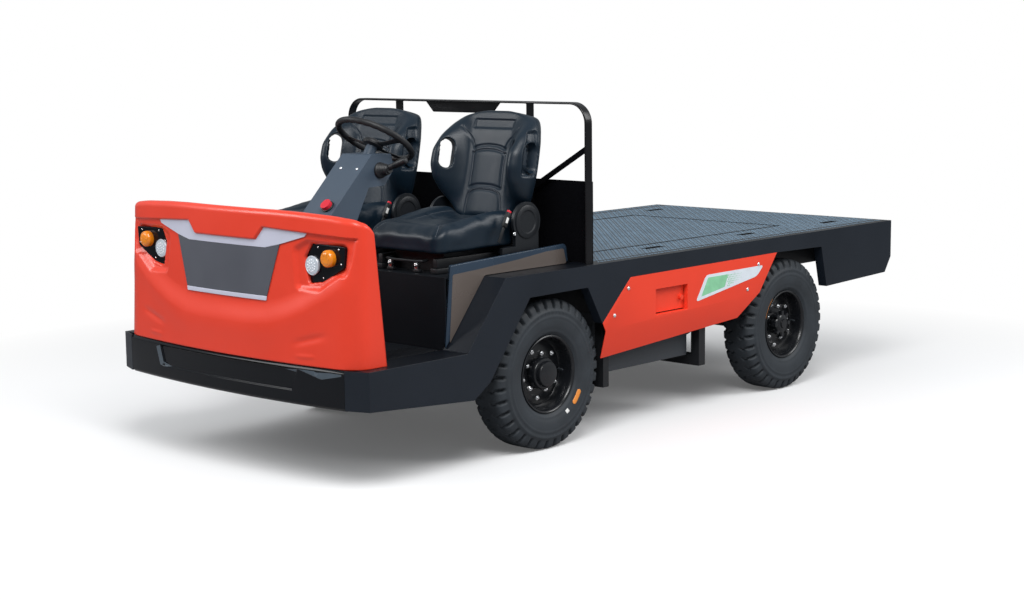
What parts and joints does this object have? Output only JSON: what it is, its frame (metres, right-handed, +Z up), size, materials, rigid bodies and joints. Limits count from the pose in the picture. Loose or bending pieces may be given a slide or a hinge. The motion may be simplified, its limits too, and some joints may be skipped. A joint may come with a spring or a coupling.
{
  "type": "electric platform truck",
  "caption": "Two-seat electric flatbed tow truck with a flat load deck, open cab behind a curved cowl, guard hoop, steered front wheels and a tow hitch.",
  "frame": {"origin": "on the ground, halfway along the length and across the width", "axes": "+X forward, +Y to the left, +Z up"},
  "size_m": [3.99, 1.632, 1.528],
  "materials": {
    "frame_black": "satin",
    "body_black": "satin",
    "deck_grey": "satin",
    "red": "gloss",
    "battery": "matte",
    "gloss_black": "gloss",
    "trim_black": "matte",
    "column_grey": "matte",
    "seat_vinyl": "satin",
    "silver": "satin",
    "panel_grey": "satin",
    "lens": "gloss",
    "amber": "gloss",
    "red_lens": "gloss",
    "button_red": "gloss",
    "tyre": "matte",
    "rim_black": "satin",
    "axle": "matte",
    "steel": "satin"
  },
  "bodies": {
    "chassis": {"chassis_frame": "frame_black", "battery_cradle": "frame_black", "battery_pack": "battery", "side_frame_left": "body_black", "side_frame_right": "body_black", "deck_surround": "deck_grey", "deck_cover": "deck_grey", "tail_plate": "body_black", "tail_lamps": "red_lens", "side_cover_left": "red", "side_cover_right": "red", "charge_socket": "trim_black", "floor_plate": "trim_black", "seat_box": "body_black", "seat_box_trims": "gloss_black", "front_cowl": "red", "lamp_bezels": "gloss_black", "headlamps": "lens", "turn_signals": "amber", "cowl_panel": "panel_grey", "cowl_strips": "silver", "front_bumper": "gloss_black", "steering_column": "column_grey", "driver_controls": "trim_black", "stop_button": "button_red", "guard_frame": "frame_black", "headboard": "frame_black", "seat_backs": "seat_vinyl", "seat_cushions": "seat_vinyl", "seat_bases": "trim_black", "front_axle": "axle", "rear_axle": "axle", "leaf_springs": "axle", "tow_hitch": "frame_black"},
    "knuckle_left": {"knuckle_left": "axle"},
    "knuckle_right": {"knuckle_right": "axle"},
    "tie_rod": {"tie_rod": "axle"},
    "steering_wheel": {"steering_wheel": "trim_black"},
    "charge_hatch": {"charge_hatch": "red"},
    "tow_pin": {"tow_pin": "steel"},
    "wheel_front_left": {"wheel_front_left": "rim_black", "tyre_front_left": "tyre"},
    "wheel_front_right": {"wheel_front_right": "rim_black", "tyre_front_right": "tyre"},
    "wheel_rear_left": {"wheel_rear_left": "rim_black", "tyre_rear_left": "tyre"},
    "wheel_rear_right": {"wheel_rear_right": "rim_black", "tyre_rear_right": "tyre"}
  },
  "joints": [
    {"name": "steer_left", "type": "hinge", "parent": "chassis", "child": "knuckle_left", "pos_m": [0.782, 0.62, 0.338], "axis": [0, 0, 1], "range_deg": [-32, 32]},
    {"name": "steer_right", "type": "hinge", "parent": "chassis", "child": "knuckle_right", "pos_m": [0.782, -0.62, 0.338], "axis": [0, 0, 1], "range_deg": [-32, 32]},
    {"name": "tie_rod_pivot", "type": "hinge", "parent": "knuckle_left", "child": "tie_rod", "pos_m": [0.692, 0.62, 0.292], "axis": [0, 0, 1], "range_deg": [-32, 32]},
    {"name": "steering_wheel_turn", "type": "hinge", "parent": "chassis", "child": "steering_wheel", "pos_m": [1.446, 0.38, 1.395], "axis": [-0.5373, 0, 0.8434], "range_deg": [-480, 480]},
    {"name": "charge_hatch_hinge", "type": "hinge", "parent": "chassis", "child": "charge_hatch", "pos_m": [0.082, 0.792, 0.587], "axis": [0, 0, -1], "range_deg": [0, 90]},
    {"name": "tow_pin_lift", "type": "slide", "parent": "chassis", "child": "tow_pin", "axis": [0, 0, 1], "range_m": [0, 0.14]},
    {"name": "spin_front_left", "type": "hinge", "parent": "knuckle_left", "child": "wheel_front_left", "pos_m": [0.782, 0.686, 0.338], "axis": [0, 1, 0], "continuous": true},
    {"name": "spin_front_right", "type": "hinge", "parent": "knuckle_right", "child": "wheel_front_right", "pos_m": [0.782, -0.686, 0.338], "axis": [0, 1, 0], "continuous": true},
    {"name": "spin_rear_left", "type": "hinge", "parent": "chassis", "child": "wheel_rear_left", "pos_m": [-1.058, 0.686, 0.338], "axis": [0, 1, 0], "continuous": true},
    {"name": "spin_rear_right", "type": "hinge", "parent": "chassis", "child": "wheel_rear_right", "pos_m": [-1.058, -0.686, 0.338], "axis": [0, 1, 0], "continuous": true}
  ],
  "couplings": [
    {"joint": "steer_right", "follows": "steer_left", "ratio": 1},
    {"joint": "tie_rod_pivot", "follows": "steer_left", "ratio": -1},
    {"joint": "steering_wheel_turn", "follows": "steer_left", "ratio": 15}
  ]
}
